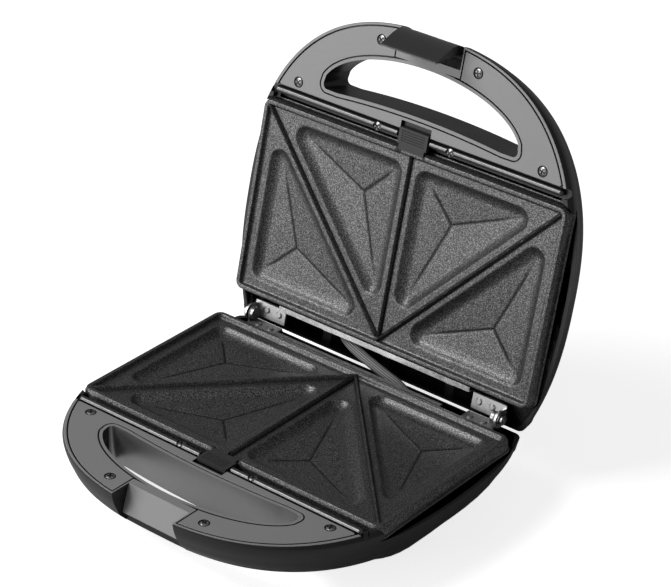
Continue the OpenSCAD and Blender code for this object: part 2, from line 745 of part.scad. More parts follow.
// Coil of the latch spring around the pin, with one leg on the well and one on the flap.
module latch_spring() {
  color("#d4d6d8") in_lid() {
    for (i = [0 : 5]) translate([i * 1.3 - 3.2, latch_pin_y, -latch_pin_z]) rotate([0, 90, 0])
      rotate_extrude() translate([2.3, 0]) circle(r = 0.5, $fn = 20);
    rod_leg(3.3, latch_pin_y, -latch_pin_z - 2.3, 7.9);
  }
}

module rod_leg(x, y, z, l) {
  translate([x, y, z]) rotate([-90, 0, 0]) cylinder(r = 0.5, h = l);
}

// Outer face of the latch flap, in the lid as it hangs closed: along Y and down Z.
function latch_face() = let (f = -handle_reach)
  [[f + 5, 8], [f + 3, 4.6], [f + 1.9, 1.6], [f + 1.5, -1], [f + 1.7, -3.6], [f + 2.6, -7], [f + 4, -10.5],
   [f + 5.7, -13.7], [f + 7.5, -16.6], [f + 9, -19], [f + 9.7, -21.2]];

// Curved flap with a hook at its lower edge and two knuckles around the pin.
module latch_clip() {
  f = -handle_reach;
  n = len(latch_face()) - 1;
  color("#121214") in_lid() mirror([0, 0, 1]) difference() {
    union() {
      along_x(-latch_half, latch_half) polygon(concat(latch_face(),
        [[f + 10.5, -21.4], [f + 10.5, -19.9], [f + 9.9, -19.6], [f + 9.4, -17.6]],
        [for (i = [n - 2 : -1 : 0]) let (p = latch_face()[i]) [p[0] + latch_t * 0.8, p[1] + latch_t * 0.5]]));
      both_sides() along_x(4.6, latch_half - 1) {
        translate([latch_pin_y, latch_pin_z]) circle(3.1);
        polygon([[f + 4.9, 12.4], [f + 8, 9.2], [f + 7.4, 4], [f + 5, 0], [f + 3, 0], [f + 3.4, 4.6], [f + 4.6, 8]]);
      }
      both_sides() along_x(latch_half - 1.6, latch_half) polygon([[f + 4.8, 7.6], [f + 8, 7.6], [f + 7.2, 0],
        [f + 8, -8], [f + 9.4, -16], [f + 8.2, -17], [f + 5, -11.5], [f + 2.6, -4], [f + 2.6, 2]]);
    }
    rod_x(-40, 40, latch_pin_y, latch_pin_z, 1.5);
  }
}

module base_handle_trim() { color("#c9cbce") in_base() handle_trim(); }
module base_trim_screws() { color("#a9acb0") in_base() trim_screws(); }
module base_front_rail() { color("#e3e5e8") in_base() front_rail(); }
module base_rail_screws() { color("#b9bcc0") in_base() rail_screws(); }
module lower_plate() { color("#3a3b3d") in_base() cooking_plate(); }
module lower_reflector() { color("#b7b9bb") in_base() reflector(); }
module lower_heating_element() { color("#6e6b66") in_base() heating_element(); }
module lower_element_clips() { color("#9c9ea1") in_base() element_clips(); }
module base_hinge_leaves() { color("#b9bcc0") in_base() hinge_leaves(ear_x, 4.2); }
module base_hinge_rivets() { color("#c6c8cb") in_base() hinge_rivets(); }
module base_rear_strip() { color("#d0d2d5") in_base() rear_strip(-68, 60, 2.7); }
module lower_release_clip() { color("#1c1c1e") in_base() release_clip(); }
module lid_handle_trim() { color("#c9cbce") in_lid() handle_trim(); }
module lid_trim_screws() { color("#a9acb0") in_lid() trim_screws(); }
module lid_front_rail() { color("#e3e5e8") in_lid() front_rail(); }
module lid_rail_screws() { color("#b9bcc0") in_lid() rail_screws(); }
module upper_plate() { color("#3a3b3d") in_lid() cooking_plate(); }
module upper_reflector() { color("#b7b9bb") in_lid() reflector(); }
module upper_heating_element() { color("#6e6b66") in_lid() heating_element(); }
module upper_element_clips() { color("#9c9ea1") in_lid() element_clips(); }
module lid_hinge_leaves() { color("#b9bcc0") in_lid() hinge_leaves(lid_ear_x, ear_r); }
module lid_hinge_rivets() { color("#c6c8cb") in_lid() hinge_rivets(); }
module lid_rear_strip() { color("#d0d2d5") in_lid() rear_strip(-75, 71, 3.1); }
module upper_release_clip() { color("#1c1c1e") in_lid() release_clip(); }

base_housing();
bottom_cover();
base_feet();
cover_screws();
base_handle_trim();
base_trim_screws();
base_front_rail();
base_rail_screws();
lower_plate();
lower_reflector();
lower_heating_element();
lower_element_clips();
thermostat();
thermal_fuse();
terminal_block();
cord_gland();
base_hinge_leaves();
base_hinge_rivets();
hinge_pivots();
base_rear_strip();
wire_sleeve();
lower_release_clip();
lid_housing();
lid_handle_trim();
lid_trim_screws();
lid_front_rail();
lid_rail_screws();
upper_plate();
upper_reflector();
upper_heating_element();
upper_element_clips();
reflector_screws();
lid_hinge_leaves();
lid_hinge_rivets();
lid_rear_strip();
indicator_lenses();
indicator_lamps();
latch_pin();
latch_spring();
latch_clip();
upper_release_clip();
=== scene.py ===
import math
import bmesh
import bpy
import numpy as np
from mathutils import Matrix, Vector


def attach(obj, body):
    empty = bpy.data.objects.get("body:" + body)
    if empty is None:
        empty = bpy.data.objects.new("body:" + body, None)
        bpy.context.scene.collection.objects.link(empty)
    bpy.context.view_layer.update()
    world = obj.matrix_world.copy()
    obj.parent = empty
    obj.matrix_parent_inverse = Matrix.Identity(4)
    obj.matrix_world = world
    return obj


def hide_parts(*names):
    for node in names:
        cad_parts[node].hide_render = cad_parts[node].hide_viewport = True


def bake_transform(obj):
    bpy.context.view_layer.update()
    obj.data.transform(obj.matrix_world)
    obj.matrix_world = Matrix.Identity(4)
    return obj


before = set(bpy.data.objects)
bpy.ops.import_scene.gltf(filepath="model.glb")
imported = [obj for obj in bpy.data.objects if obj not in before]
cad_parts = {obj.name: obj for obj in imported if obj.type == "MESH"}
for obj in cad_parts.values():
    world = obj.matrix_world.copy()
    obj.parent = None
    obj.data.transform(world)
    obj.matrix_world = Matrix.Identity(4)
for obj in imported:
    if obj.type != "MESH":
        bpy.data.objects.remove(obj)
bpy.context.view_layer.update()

# Camera. It stands in front of the right corner of the open toaster and looks down on it,
# with the long lens that the nearly parallel edges of the photograph need.
turn = Vector((1.975, 0.714, -0.371))
look = Matrix.Rotation(turn.length, 3, turn.normalized())
eye = Vector((0.78488, -0.99737, 0.83152))
photo_width = 671.0
focal_pixels = 2530.9
camera = bpy.data.objects.new("camera", bpy.data.cameras.new("camera"))
camera.data.sensor_width = 36.0
camera.data.lens = focal_pixels * camera.data.sensor_width / photo_width
camera.data.clip_start = 0.05
camera.matrix_world = Matrix(((look[0][0], -look[1][0], -look[2][0], eye.x),
                              (look[0][1], -look[1][1], -look[2][1], eye.y),
                              (look[0][2], -look[1][2], -look[2][2], eye.z),
                              (0, 0, 0, 1)))
bpy.context.scene.collection.objects.link(camera)
bpy.context.scene.camera = camera
bpy.context.scene.view_settings.view_transform = "Standard"


# Studio. A white floor and a dim even sky, with a wide soft lamp in front of the toaster and a
# second one above it. Only the camera sees the sky and the floor as plain white.
class Value:
    """A node's output that takes plain arithmetic."""

    def __init__(self, finish, socket):
        self.finish, self.socket = finish, socket

    def calc(self, operation, a, b):
        return self.finish.node("Math", {"operation": operation}, {0: a, 1: b})

    def __add__(self, other):
        return self.calc("ADD", self, other)

    def __radd__(self, other):
        return self.calc("ADD", other, self)

    def __mul__(self, other):
        return self.calc("MULTIPLY", self, other)

    def __rmul__(self, other):
        return self.calc("MULTIPLY", other, self)


class Finish:
    """A material, or the world, whose nodes are all made by node()."""

    def __init__(self, name, owner=None, **plain):
        self.owner = owner or bpy.data.materials.new(name)
        self.owner.use_nodes = True
        self.tree = self.owner.node_tree
        if owner is None:
            self.shader = self.tree.nodes["Principled BSDF"]
            self.set(**plain)

    def node(self, kind, settings=None, inputs=None, out=0):
        made = self.tree.nodes.new("ShaderNode" + kind)
        for key, value in (settings or {}).items():
            if key == "stops":
                ramp = made.color_ramp
                while len(ramp.elements) < len(value):
                    ramp.elements.new(1.0)
                for element, (place, shade) in zip(ramp.elements, value):
                    element.position, element.color = place, (shade, shade, shade, 1.0)
            else:
                setattr(made, key, value)
        for key, value in (inputs or {}).items():
            self.feed(made.inputs[key], value)
        return Value(self, made.outputs[out])

    def feed(self, socket, value):
        if isinstance(value, Value):
            self.tree.links.new(value.socket, socket)
        else:
            socket.default_value = value

    def set(self, **plain):
        for key, value in plain.items():
            self.feed(self.shader.inputs[key.replace("_", " ")], value)

    def place(self):
        return self.node("TexCoord", out=3)

    def noise(self, scale, detail=2.0):
        return self.node("TexNoise", None, {"Vector": self.place(), "Scale": scale, "Detail": detail,
                                            "Roughness": 0.5})

    def mix(self, share, low, high):
        return self.node("Mix", {"data_type": "RGBA"}, {0: share, 6: low, 7: high}, out=2)

    def bump(self, height, depth, strength=1.0):
        self.set(Normal=self.node("Bump", None, {"Height": height, "Distance": depth, "Strength": strength}))


def grey(level):
    return (level, level, level, 1.0)


world = bpy.data.worlds.new("studio")
bpy.context.scene.world = world
sky = Finish("studio", world)
seen, mirrored = sky.node("LightPath", out=0), sky.node("LightPath", out=3)
sky.feed(sky.tree.nodes["Background"].inputs["Color"], (1.0, 1.0, 1.0, 1.0))
sky.feed(sky.tree.nodes["Background"].inputs["Strength"], 0.1 + seen * 0.9 + mirrored * 0.14)

floor_finish = Finish("floor", Base_Color=grey(0.85), Roughness=0.7, Emission_Strength=1.0)
floor_finish.set(Emission_Color=floor_finish.mix(floor_finish.node("LightPath", out=0), grey(0.0), grey(0.8)))
side = 6.0
mesh = bpy.data.meshes.new("floor")
mesh.from_pydata([(-side, -side, 0), (side, -side, 0), (side, side, 0), (-side, side, 0)], [], [(0, 1, 2, 3)])
floor = bpy.data.objects.new("floor", mesh)
floor.location.z = -0.0004
mesh.materials.append(floor_finish.owner)
bpy.context.scene.collection.objects.link(floor)


def lamp(name, place, aim, width, height, power):
    light = bpy.data.lights.new(name, "AREA")
    light.shape, light.size, light.size_y, light.energy = "RECTANGLE", width, height, power
    holder = bpy.data.objects.new(name, light)
    holder.location = place
    holder.rotation_euler = (Vector(aim) - Vector(place)).to_track_quat("-Z", "Y").to_euler()
    bpy.context.scene.collection.objects.link(holder)


lamp("front_lamp", (-1.3, -2.1, 0.45), (0, 0, 0.12), 1.5, 0.9, 22)
lamp("top_lamp", (-0.95, -1.0, 1.5), (0, 0, 0.05), 1.1, 0.8, 24)

# Housings. Each half is one black injection moulding: a bowed shell with the handle in front and
# the belly over the heater behind it. Fine spark texture, with a soft satin sheen on the curves.
open_angle = math.radians(102)
axis_y, centre_y, part_h = 134.3, 65.15, 47.0
reach, half_w, mid_y, rear_y, depth = 74.0, 119.0, 62.0, 141.0, 42.0
face_z, rim_z = -1.7, -9.5
plate_half, plate_front, plate_rear, plate_r = 111.5, -1.4, 122.8, 5
wall = 2.0
notch_half = 22.6
trim_edge = -12.4
clip_bay_half, clip_bay_front = 11, -17.7
rail_end_x, rail_bed_z = 107, -4.7
hinge_in, hinge_out, pad_out = 71.5, 97, 92.9
post_front, post_rear, post_low = 126.6, 139.8, -18
strip_feet, foot_half = (-42, 4, 52), 3.2
trim_screws = ((89.8, -17.6), (35.1, -reach + 14.1))
# Reach of the cutters that only need to pass the whole toaster
far = 200
to_base = Matrix.Scale(0.001, 4) @ Matrix.Translation((0, -centre_y, part_h))
to_lid = (Matrix.Scale(0.001, 4) @ Matrix.Translation((0, axis_y - centre_y, part_h))
          @ Matrix.Rotation(-open_angle, 4, "X") @ Matrix.Translation((0, -axis_y, 0))
          @ Matrix.Scale(-1, 4, (0, 0, 1)))

black = Finish("black_moulding", Specular_IOR_Level=0.4)
black.bump(black.noise(1500, 3), 0.0001, 0.4)
black.set(Base_Color=black.mix(black.noise(1100, 2), grey(0.006), grey(0.011)),
          Roughness=0.36 + black.noise(60, 3) * 0.1)
satin = Finish("trim_paint", Roughness=0.42, Specular_IOR_Level=0.4)
satin.set(Base_Color=satin.mix(satin.noise(2500, 2), grey(0.24), grey(0.3)))
satin.bump(satin.noise(1800, 2), 0.00003, 0.3)
# The glossier metallic grey of the base's finger-hole wall is a painted sheen.
well_sheen = Finish("well_sheen", Metallic=0.75)
well_sheen.set(Base_Color=well_sheen.mix(well_sheen.noise(2500, 2), grey(0.3), grey(0.4)),
               Roughness=0.26 + well_sheen.noise(40, 2) * 0.1)


def mesh_object(name, points, faces):
    made = bpy.data.meshes.new(name)
    made.from_pydata([tuple(p) for p in points], [], [tuple(f) for f in faces])
    piece = bpy.data.objects.new(name, made)
    bpy.context.scene.collection.objects.link(piece)
    return piece


def clean(piece):
    """Merges doubles and points the faces outwards."""
    work = bmesh.new()
    work.from_mesh(piece.data)
    bmesh.ops.remove_doubles(work, verts=work.verts, dist=0.0005)
    bmesh.ops.recalc_face_normals(work, faces=work.faces)
    work.to_mesh(piece.data)
    work.free()
    return piece


def outline(a, front, rear, n=2.5, r=6.0, steps=96):
    """The same bowed plan as the CAD source, with more points, clockwise from above."""
    t = np.linspace(0, math.pi, steps + 1)
    bow = [(math.copysign(a * abs(c) ** (2 / n), c), mid_y - (mid_y - front) * abs(s) ** (2 / n))
           for c, s in zip(np.cos(t), np.sin(t))]
    k = np.linspace(0, 1, 13)[1:]
    line = [(a - 10.9 * q ** 2.5, mid_y + (rear - r - mid_y) * q) for q in k]
    u = np.radians(np.linspace(0, 90, 9)[1:])
    turned = [(a - 10.9 - r * (1 - math.cos(v)), rear - r + r * math.sin(v)) for v in u]
    side = line + turned
    return bow + [(-x, y) for x, y in side] + side[::-1]


def smooth_levels(levels, steps=4):
    """Fills in levels on one smooth curve through the given ones."""
    p = np.array(levels, float)
    made = []
    for i in range(len(p) - 1):
        a, b, c, d = p[max(i - 1, 0)], p[i], p[i + 1], p[min(i + 2, len(p) - 1)]
        for u in np.arange(steps) / steps:
            bend = u * u * (a - 2.5 * b + 2 * c - 0.5 * d)
            q = b + 0.5 * u * (c - a) + bend + u ** 3 * (1.5 * (b - c) + 0.5 * (d - a))
            q = np.clip(q, np.minimum(b, c), np.maximum(b, c))
            q[0] = b[0] + (c[0] - b[0]) * u
            made.append(list(q))
    return made + [list(p[-1])]


def loft(name, levels, n=2.5):
    rings = [[(x, y, z) for x, y in outline(a, front, rear, n)] for z, a, front, rear in levels]
    m = len(rings[0])
    points = [p for ring in rings for p in ring]
    faces = [(j * m + i, j * m + (i + 1) % m, (j + 1) * m + (i + 1) % m, (j + 1) * m + i)
             for j in range(len(rings) - 1) for i in range(m)]
    faces += [tuple(range(m - 1, -1, -1)), tuple((len(rings) - 1) * m + i for i in range(m))]
    return clean(mesh_object(name, points, faces))


def prism(name, plan, z0, z1):
    m = len(plan)
    points = [(x, y, z0) for x, y in plan] + [(x, y, z1) for x, y in plan]
    faces = [(i, (i + 1) % m, m + (i + 1) % m, m + i) for i in range(m)]
    faces += [tuple(range(m - 1, -1, -1)), tuple(range(m, 2 * m))]
    return clean(mesh_object(name, points, faces))


def block(name, low, high):
    plan = [(low[0], low[1]), (high[0], low[1]), (high[0], high[1]), (low[0], high[1])]
    return prism(name, plan, low[2], high[2])


def rounded_plan(x0, y0, x1, y1, r, steps=10):
    corners = ((x1 - r, y0 + r, -90), (x1 - r, y1 - r, 0), (x0 + r, y1 - r, 90), (x0 + r, y0 + r, 180))
    return [(cx + r * math.cos(t), cy + r * math.sin(t))
            for cx, cy, a in corners for t in np.radians(np.linspace(a, a + 90, steps + 1))]


def plate_plan(g, steps=10):
    """The outline of a plate, grown by g."""
    r = max(plate_r + g, 0.3)
    return rounded_plan(-plate_half - g, plate_front - g, plate_half + g, plate_rear + g, r, steps)


def circle(x, y, r, sides=32):
    return [(x + r * math.cos(t), y + r * math.sin(t)) for t in np.linspace(0, 2 * math.pi, sides + 1)[:-1]]


def combine(piece, cutters, operation="DIFFERENCE"):
    """Cuts or joins whole solids, and leaves one plain mesh."""
    for cutter in cutters:
        tool = piece.modifiers.new("cut", "BOOLEAN")
        tool.operation, tool.solver, tool.object = operation, "EXACT", cutter
    settle(piece)
    for cutter in cutters:
        bpy.data.objects.remove(cutter)
    return piece


def settle(piece):
    """Turns what the modifiers make into the piece's own mesh."""
    bpy.context.view_layer.update()
    made = bpy.data.meshes.new_from_object(piece.evaluated_get(bpy.context.evaluated_depsgraph_get()))
    piece.modifiers.clear()
    old, piece.data = piece.data, made
    bpy.data.meshes.remove(old)
    return piece


def finish_piece(piece, finish, matrix, body, *nodes, bevel=0.3, slot=None, angle=35, faced=None):
    """Softens the edges, places the piece, gives it its material and ties it to its body."""
    piece.data.materials.clear()
    piece.data.materials.append(finish.owner)
    if faced:
        *others, rule = faced
        for other in others:
            piece.data.materials.append(other.owner)
        for face in piece.data.polygons:
            face.material_index = int(rule(face.center, face.normal))
    piece.data.transform(matrix)
    if matrix.determinant() < 0:
        piece.data.flip_normals()
    piece.data.polygons.foreach_set("use_smooth", [True] * len(piece.data.polygons))
    piece.data.set_sharp_from_angle(angle=math.radians(angle))
    if bevel:
        tool = piece.modifiers.new("edge", "BEVEL")
        tool.width, tool.segments, tool.limit_method = bevel / 1000, 2, "ANGLE"
        tool.angle_limit, tool.harden_normals = math.radians(angle), False
        tool.use_clamp_overlap = True
        even = piece.modifiers.new("even", "WEIGHTED_NORMAL")
        even.keep_sharp = True
        settle(piece)
    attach(piece, body)
    if nodes:
        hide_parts(*nodes)
    return piece


def shell_levels(g):
    return [[-26.5, half_w - 7.5 - g, -reach + 16 + g, rear_y - 3 - g],
            [-25, half_w - 4 - g, -reach + 12.6 + g, rear_y - 2.2 - g],
            [-20, half_w - 1.5 - g, -reach + 7.8 + g, rear_y - 0.7 - g],
            [-14.5, half_w - 0.3 - g, -reach + 5 + g, rear_y - g],
            [-9.5, half_w + 1 - g, -reach + 2.8 + g, rear_y - g],
            [-4.5, half_w + 1.7 - g, -reach + 1.5 + g, rear_y - g],
            [face_z, half_w - g, -reach + 1.1 + g, rear_y - g]]


def belly_levels(g):
    return [[-depth, half_w - 19 - g, 5 + g, rear_y - 11 - g],
            [-depth + 1.5, half_w - 16.8 - g, 2.6 + g, rear_y - 8.4 - g],
            [-35, half_w - 12.6 - g, -4 + g, rear_y - 5 - g],
            [-30, half_w - 8.6 - g, -9 + g, rear_y - 3.6 - g],
            [-26, half_w - 5.4 - g, -12 + g, rear_y - 2.4 - g],
            [-24, half_w - 4.6 - g, -12.4 + g, rear_y - 2.6 - g]]


def finger_plan(grow=0.0):
    """Plan of the finger hole: a bow in front, a small round at each end and a slack rear edge."""
    bow_half, bow_reach, end_r, back_half = 75 + grow, 34 + grow, 5.7 + grow, 60
    bow = [(bow_half * math.cos(t), -20 + bow_reach * math.sin(t))
           for t in np.radians(np.linspace(194, 346, 60))]
    right = [(68 + end_r * math.cos(t), -22.8 + end_r * math.sin(t))
             for t in np.radians(np.linspace(-15, 95, 10))]
    back = [(x, -17 + grow - 3 * (1 - (x / back_half) ** 2)) for x in np.linspace(back_half, -back_half, 25)]
    left = [(-x, y) for x, y in right[::-1]]
    return bow + right + back + left


def half_outer(g):
    top = shell_levels(g)
    top[-1][0] = face_z - 0.8
    levels = smooth_levels(top) + [[face_z - 0.25, half_w - g - 0.15, -reach + 1.25 + g, rear_y - g - 0.15],
                                   [face_z, half_w - g - 0.6, -reach + 1.7 + g, rear_y - g - 0.6]]
    shell = loft("shell", levels)
    return combine(shell, [loft("belly", smooth_levels(belly_levels(g)), 4)], "UNION")


def room():
    """The hollow of a half, one wall inside its outer form."""
    upper = [[max(v[0], -24.2)] + v[1:] for v in shell_levels(wall) if -26 < v[0] < -9]
    upper[-1][0] = -7
    belly = [[max(v[0], -39.6)] + v[1:] for v in belly_levels(wall)][1:]
    made = combine(loft("room", upper), [loft("room_belly", belly, 4)], "UNION")
    keep = block("keep", (-far, -4, -depth), (far, far, 5))
    return combine(made, [keep], "INTERSECT")


def half_shell(name, cover, extra):
    """One housing with its seats cut. A paper-thin face stays across the opening at rim level, which
    is a fault."""
    shell = half_outer(0)
    trim_seat = combine(prism("trim_seat", outline(half_w - 2, -reach + 2.3, rear_y - 5), face_z - 2, 6),
                        [block("keep", (-far, -far, -10), (far, trim_edge, 10))], "INTERSECT")
    combine(trim_seat, [block("bridge", (-23.4, -far, -20), (23.4, -reach + 20.8, 20)),
                        prism("lip", finger_plan(-0.4), -20, 20)])
    cutters = [room(), block("above_rim", (-far, 0.5, rim_z), (far, 250, 10)), trim_seat,
               prism("plate_room", plate_plan(2.3), rim_z - 0.1, 5),
               prism("tray_room", plate_plan(-3.0), -21.2, 5),
               prism("plate_top", plate_plan(1.3), -7.2, 10),
               block("rail_channel", (-rail_end_x, -12.5, rail_bed_z), (rail_end_x, -0.4, 10)),
               block("groove", (-104, -6.4, -9.2), (104, -0.4, 10)),
               prism("finger_hole", finger_plan(-2.4), -40, 10),
               block("clip_bay", (-clip_bay_half, clip_bay_front, -4.3), (clip_bay_half, -12.2, 10))] + extra
    for sign in (-1, 1):
        cutters.append(prism("rail_end", circle(sign * rail_end_x, -9.4, 3.2), rail_bed_z, 10))
    combine(shell, cutters)
    blocks = []
    for sign in (-1, 1):
        low, high = sorted((sign * hinge_in, sign * hinge_out))
        blocks.append(block("hinge_block", (low, post_front, post_low), (high, post_rear, rim_z)))
        low, high = sorted((sign * hinge_in, sign * pad_out))
        blocks.append(block("hinge_pad", (low, post_front, rim_z - 0.1), (high, axis_y + 2.5, -5.8)))
    for x in strip_feet:
        blocks.append(block("strip_block", (x - foot_half, 125.4, post_low),
                            (x + foot_half, post_rear, rim_z)))
    combine(shell, blocks, "UNION")
    if cover:
        combine(shell, [cover])
    shell.name = name
    return shell


def notch_profile(points, half):
    """A solid with the given outline in y and z, as wide as half on each side."""
    m = len(points)
    solid = [(x, y, z) for x in (-half, half) for y, z in points]
    faces = [(i, (i + 1) % m, m + (i + 1) % m, m + i) for i in range(m)]
    faces += [tuple(range(m - 1, -1, -1)), tuple(range(m, 2 * m))]
    return clean(mesh_object("notch", solid, faces))


def cover_region(g):
    y, z = 8.0, -18.0
    arc = [(y + 6 + g - 6 * math.cos(t), z - 6 - g + 6 * math.sin(t)) for t in np.linspace(0, math.pi / 2, 9)]
    return notch_profile([(y + g, -100)] + arc + [(300, z - g), (300, -100)], far)


f = -reach
base_notch = notch_profile([(f + 16, 5), (f + 16, face_z - 0.3), (f + 10.8, -18.8), (f + 10.8, -19.4),
                            (f + 14, -20.2), (f + 14, -40), (f - 20, -40), (f - 20, 5)], notch_half)
lid_notch = block("lid_notch", (-notch_half, f - 20, -20), (notch_half, f + 16, 10))


def painted(centre, normal):
    """The rim and lip of the handle's face, which face up, and the slope under the latch, which faces front,
    get the trim's grey as a painted sheen on the black moulding.
    """
    on_face = centre.y < -12.5 and centre.z > face_z - 0.4 and normal.z > 0.6
    on_slope = abs(centre.x) < 22.5 and centre.y < f + 16.5 and normal.y < -0.8 and -19 < centre.z < face_z
    return on_face or on_slope


def painted_base(centre, normal):
    """The rear wall of the base's finger hole gets a glossier metallic grey, a painted sheen on the black
    moulding.
    """
    in_hole = abs(centre.x) < 76 and -30 < centre.y < -12.6 and centre.z < face_z
    rear_wall = normal.y < -0.2 and abs(normal.z) < 0.3
    return 2 if in_hole and rear_wall else painted(centre, normal)


base_shell = half_shell("base_shell", cover_region(0), [base_notch])
finish_piece(base_shell, black, to_base, "base", "base_housing", slot="black_moulding",
             faced=(satin, well_sheen, painted_base))
# The slot in the lid's rear wall for the wire sleeve is in the solid only
lid_shell = half_shell("lid_shell", None, [lid_notch])
finish_piece(lid_shell, black, to_lid, "lid", "lid_housing", slot="black_moulding",
             faced=(satin, painted))

# Cooking plates. Cast aluminium with a dark speckled non-stick coating: a raised rim, three thin
# ridges that fan out from the middle of the rear, and four pockets of three shallow planes each.
# Painted shade darkens the creases and the foot of the ridges.
rim_top, land, pocket_margin = -0.3, -3.1, 12.8
rim_w, crease_depth, pocket_fall = 3.8, 0.5, 1.1

coating = Finish("plate_coating", Metallic=0.8, Specular_IOR_Level=0.5)
speck = coating.noise(1500)
light_specks = coating.node("ValToRGB", {"stops": [(0.46, 0.0), (0.64, 1.0)]}, {0: speck})
worn = coating.mix(light_specks, grey(0.05), grey(0.22))
# Painted shade: the creases and the foot of the ridges blend to near black.
shade_share = coating.node("Attribute", {"attribute_name": "residue"}, out=2)
coating.set(Base_Color=coating.mix(shade_share, worn, grey(0.004)), Roughness=0.36 + speck * 0.16)
coating.bump(speck, 0.00006, 0.5)


def soft_min(a, b, k):
    h = np.clip(0.5 + 0.5 * (b - a) / k, 0, 1)
    return b + (a - b) * h - k * h * (1 - h)


def pocket_depth(x, y, p, q):
    """Level of a pocket's hollow under right-angled ridge lines along x and y, with legs p and q,
    and how much of its creases a point is in, which the coating darkens as painted shade."""
    d, long = pocket_margin, math.hypot(p, q)
    k = 1 - d * long / (p * q)
    corners = np.array([(d, d), (p * (k - d / q), d), (d, q * (k - d / p))])
    edge = [y - d, x - d, (k - x / p - y / q) * p * q / long]
    inside = np.minimum(np.minimum(edge[0], edge[1]), edge[2])
    away = np.full(x.shape, 1e9)
    for i in range(3):
        a, b = corners[i], corners[(i + 1) % 3]
        s = np.clip(((x - a[0]) * (b[0] - a[0]) + (y - a[1]) * (b[1] - a[1])) / ((b - a) @ (b - a)), 0, 1)
        away = np.minimum(away, np.hypot(x - a[0] - s * (b[0] - a[0]), y - a[1] - s * (b[1] - a[1])))
    away = np.where(inside > 0, 0, away)
    round_wall = 2 - np.sqrt(np.maximum(81 - away ** 2, 23))
    bowl = np.where(away < 7.6, round_wall, 2 - math.sqrt(81 - 7.6 ** 2) + (away - 7.6) * 1.57)
    apex = (p + q - long) / 2
    deep = apex - d
    slope = -pocket_fall * np.clip(inside, 0, deep) / deep
    order = np.sort(np.stack(edge), axis=0)
    crease = np.exp(-((order[1] - order[0]) / 0.9) ** 2) * np.clip(inside / 6, 0, 1)
    return bowl + slope - crease_depth * crease, crease * np.clip((away < 0.01) * inside / 4, 0, 1)


def plate_field(x, y):
    p, front, rear = plate_half - rim_w, plate_front + rim_w, plate_rear - rim_w
    u = np.abs(x)
    level = np.full(x.shape, land)
    q = plate_rear - plate_front - 7.6
    inner, inner_crease = pocket_depth(u, y - front, p, q)
    outer, outer_crease = pocket_depth(p - u, rear - y, p, q)
    level = soft_min(soft_min(level, inner, 0.9), outer, 0.9)
    residue = np.maximum(inner_crease, outer_crease)
    length = math.hypot(p, q)
    for away in (u, np.abs(u * q - (rear - y) * p) / length):
        ridge = soft_min(np.full(x.shape, rim_top), rim_top - (away - 0.4) * 3.8, 0.3)
        level = -soft_min(-level, -ridge, 0.4)
        # Painted shade along the foot of each ridge.
        residue = np.maximum(residue, 0.8 * np.exp(-((away - 1.25) / 0.5) ** 2))
    return level, residue


def cooking_plate(name):
    """The face of a plate as a field of levels, with its rim and flange as rings around it. It is an
    open sheet without an underside."""
    width, step = plate_half - 3.2, 0.62
    xs = np.linspace(-width, width, int(2 * width / step) | 1)
    ys = np.linspace(plate_front + 3.2, plate_rear - 3.2, int((plate_rear - plate_front - 6.4) / step) | 1)
    x, y = np.meshgrid(xs, ys)
    z, residue = plate_field(x, y)
    points = np.stack([x.ravel(), y.ravel(), z.ravel()], 1).tolist()
    m, k = len(xs), len(ys)
    faces = [(j * m + i, j * m + i + 1, (j + 1) * m + i + 1, (j + 1) * m + i)
             for j in range(k - 1) for i in range(m - 1)]
    rim = [(-1.2, -5.7), (-1.2, -8.6), (1.6, -8.6), (1.9, -8.3), (1.9, -7.7), (1.6, -7.4), (0.95, -7.3),
           (0.9, -7.0), (0.9, -2.8), (0.8, -2.5), (0.1, -1.2), (0.0, -0.95), (-0.12, -0.5), (-0.35, -0.34),
           (-0.7, -0.3), (-2.3, -0.3), (-2.6, -0.38), (-2.8, -0.6), (-3.2, -2.0), (-3.5, -2.7), (-3.9, -3.0),
           (-4.4, -3.12), (-4.6, -3.4)]
    start = len(points)
    for g, level in rim:
        plan = plate_plan(g, 8)
        ring = []
        for a, b in zip(plan, plan[1:] + plan[:1]):
            count = max(1, int(math.dist(a, b) / 1.6))
            ring += [(a[0] + (b[0] - a[0]) * t / count, a[1] + (b[1] - a[1]) * t / count)
                     for t in range(count)]
        if g == rim[0][0] and level == rim[0][1]:
            around = len(ring)
        spread = np.linspace(0, len(ring), around, endpoint=False)
        closed = np.array(ring + ring[:1])
        ring = [tuple(closed[int(s)] + (closed[int(s) + 1] - closed[int(s)]) * (s % 1)) for s in spread]
        points += [(a, b, min(level, -2.5) if abs(a) < 10 and b < 2 else level) for a, b in ring]
    faces += [(start + j * around + i, start + j * around + (i + 1) % around,
               start + (j + 1) * around + (i + 1) % around, start + (j + 1) * around + i)
              for j in range(len(rim) - 1) for i in range(around)]
    plate = mesh_object(name, points, faces)
    dark = np.zeros(len(points))
    dark[:start] = residue.ravel()
    plate.data.attributes.new("residue", "FLOAT", "POINT").data.foreach_set("value", dark)
    return plate


for name, matrix, body in (("lower_plate_coated", to_base, "base"), ("upper_plate_coated", to_lid, "lid")):
    plate = cooking_plate(name)
    finish_piece(plate, coating, matrix, body, "lower_plate" if body == "base" else "upper_plate",
                 bevel=0, slot="plate_coating", angle=60)

